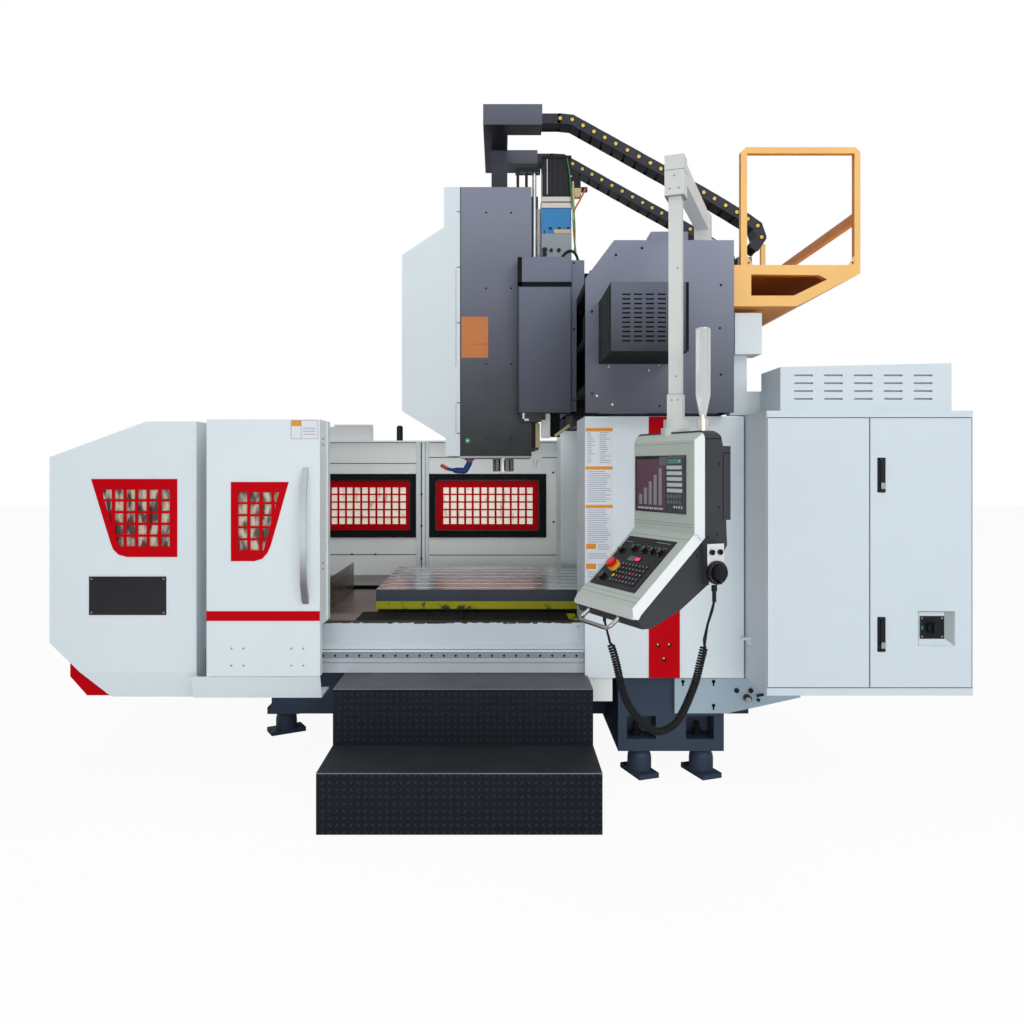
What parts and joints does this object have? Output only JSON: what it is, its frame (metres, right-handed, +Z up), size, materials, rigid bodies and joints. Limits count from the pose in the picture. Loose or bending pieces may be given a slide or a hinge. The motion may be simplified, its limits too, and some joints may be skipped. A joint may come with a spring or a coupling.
{
  "type": "double-column machining centre",
  "caption": "Double-column vertical milling machine with travelling table, bridge-mounted ram, guards, operator pendant and electrical cabinet.",
  "frame": {"origin": "Centre of the box around the machine, at floor level.", "axes": "+X along the table's travel, to the electrical cabinet; +Y from the operator's side to the back; +Z up."},
  "size_m": [4.33, 3.3861, 3.59],
  "materials": {
    "cast_dark": "semi-gloss enamel on iron",
    "machine_grey": "fine textured enamel",
    "guard_white": "smooth powder coat",
    "signal_red": "smooth powder coat",
    "plate_black": "satin",
    "tread_black": "chequered sheet, worn",
    "safety_yellow": "gloss enamel",
    "apron_yellow": "worn enamel",
    "ground_steel": "ground",
    "table_iron": "milled top, painted sides",
    "cover_steel": "dull, oiled",
    "drive_blue": "gloss enamel",
    "chrome_bar": "polished",
    "chain_plastic": "moulded",
    "pendant_cream": "smooth",
    "black_plastic": "fine grain",
    "screen_glass": "glossy",
    "red_plastic": "gloss",
    "blue_hose": "segmented",
    "lamp_clear": "clear",
    "mat_rubber": "ribbed",
    "cord_rubber": "smooth",
    "pan_blue": "smooth",
    "box_plastic": "smooth"
  },
  "bodies": {
    "machine_base": {"bed": "cast_dark", "levelling_feet": "cast_dark", "bed_ways": "ground_steel", "columns": "cast_dark", "crossbeam": "machine_grey", "beam_ways": "ground_steel", "beam_end_covers": "machine_grey", "beam_motor_cover": "machine_grey", "column_guards": "guard_white", "stripe_panel": "signal_red", "left_guard": "guard_white", "guard_windows": "signal_red", "window_frames": "plate_black", "name_plate": "plate_black", "back_guard": "guard_white", "front_sill": "guard_white", "door_rail": "ground_steel", "chip_tray": "apron_yellow", "tray_mat": "mat_rubber", "cabinet_body": "guard_white", "cabinet_vent_box": "guard_white", "steps": "tread_black", "platform": "safety_yellow", "rear_guard": "guard_white", "rear_pan": "pan_blue", "way_cover_1": "cover_steel"},
    "cabinet_left": {"cabinet_door_left": "guard_white"},
    "cabinet_right": {"cabinet_door_right": "guard_white"},
    "latch_upper": {"cabinet_latch_upper": "black_plastic"},
    "latch_lower": {"cabinet_latch_lower": "black_plastic"},
    "main_switch": {"switch_knob": "black_plastic"},
    "table_unit": {"table": "table_iron", "table_apron": "apron_yellow", "way_cover_4": "cover_steel"},
    "cover_second": {"way_cover_2": "cover_steel"},
    "cover_third": {"way_cover_3": "cover_steel"},
    "saddle_unit": {"saddle": "machine_grey", "z_drive": "drive_blue"},
    "ram_unit": {"ram": "machine_grey", "ram_cover": "guard_white", "chain_brackets": "machine_grey", "energy_chain_near": "chain_plastic", "energy_chain_far": "chain_plastic", "coolant_hose": "blue_hose"},
    "spindle": {"spindle_nose": "ground_steel"},
    "door": {"door_leaf": "guard_white", "door_window": "signal_red", "door_handle": "chrome_bar"},
    "arm": {"pendant_arm": "pendant_cream"},
    "pendant": {"pendant_front": "pendant_cream", "pendant_back": "black_plastic", "pendant_screen": "screen_glass", "pendant_keypad": "black_plastic", "pendant_handle": "chrome_bar", "handwheel_box": "box_plastic", "signal_lamp": "lamp_clear", "cord_ends": "cord_rubber", "cord_coil": "cord_rubber"},
    "stop_button": {"emergency_stop": "red_plastic"},
    "handwheel": {"handwheel_dial": "black_plastic"}
  },
  "joints": [
    {"name": "table_slide", "type": "slide", "parent": "machine_base", "child": "table_unit", "axis": [1, 0, 0], "range_m": [-0.88, 0.7]},
    {"name": "cover_second_slide", "type": "slide", "parent": "machine_base", "child": "cover_second", "axis": [1, 0, 0], "range_m": [-0.294, 0.234]},
    {"name": "cover_third_slide", "type": "slide", "parent": "machine_base", "child": "cover_third", "axis": [1, 0, 0], "range_m": [-0.587, 0.467]},
    {"name": "saddle_slide", "type": "slide", "parent": "machine_base", "child": "saddle_unit", "axis": [0, 1, 0], "range_m": [-0.62, 0.62]},
    {"name": "ram_slide", "type": "slide", "parent": "saddle_unit", "child": "ram_unit", "axis": [0, 0, 1], "range_m": [-0.48, 0.2], "deforming": ["energy_chain_near", "energy_chain_far"]},
    {"name": "spindle_spin", "type": "hinge", "parent": "ram_unit", "child": "spindle", "pos_m": [0.032, 0.5333, 1.56], "axis": [0, 0, -1], "continuous": true},
    {"name": "door_slide", "type": "slide", "parent": "machine_base", "child": "door", "axis": [1, 0, 0], "range_m": [0, 1.25]},
    {"name": "cabinet_left_hinge", "type": "hinge", "parent": "machine_base", "child": "cabinet_left", "pos_m": [1.236, -0.8157, 1.16], "axis": [0, 0, -1], "range_deg": [0, 100]},
    {"name": "cabinet_right_hinge", "type": "hinge", "parent": "machine_base", "child": "cabinet_right", "pos_m": [2.153, -0.8157, 1.16], "axis": [0, 0, 1], "range_deg": [0, 100]},
    {"name": "latch_upper_turn", "type": "hinge", "parent": "cabinet_right", "child": "latch_upper", "pos_m": [1.752, -0.8167, 1.472], "axis": [0, 1, 0], "range_deg": [0, 90]},
    {"name": "latch_lower_turn", "type": "hinge", "parent": "cabinet_right", "child": "latch_lower", "pos_m": [1.752, -0.8167, 0.747], "axis": [0, 1, 0], "range_deg": [0, 90]},
    {"name": "main_switch_turn", "type": "hinge", "parent": "cabinet_right", "child": "main_switch", "pos_m": [1.978, -0.8187, 0.819], "axis": [0, 1, 0], "range_deg": [0, 90]},
    {"name": "arm_swing", "type": "hinge", "parent": "machine_base", "child": "arm", "pos_m": [0.996, -0.5727, 2.7], "axis": [0, 0, 1], "range_deg": [-22, 10]},
    {"name": "pendant_swivel", "type": "hinge", "parent": "arm", "child": "pendant", "pos_m": [0.708, -1.3167, 1.735], "axis": [0, 0, 1], "range_deg": [-40, 40]},
    {"name": "stop_press", "type": "slide", "parent": "pendant", "child": "stop_button", "axis": [0.6285, 0.2798, -0.7257], "range_m": [0, 0.005], "stiffness_N_per_m": 1500},
    {"name": "handwheel_turn", "type": "hinge", "parent": "pendant", "child": "handwheel", "pos_m": [0.79661, -1.5821, 1.165], "axis": [0.4067, -0.9135, 0], "continuous": true}
  ],
  "couplings": [
    {"joint": "cover_second_slide", "follows": "table_slide", "ratio": 0.33333},
    {"joint": "cover_third_slide", "follows": "table_slide", "ratio": 0.66667}
  ]
}
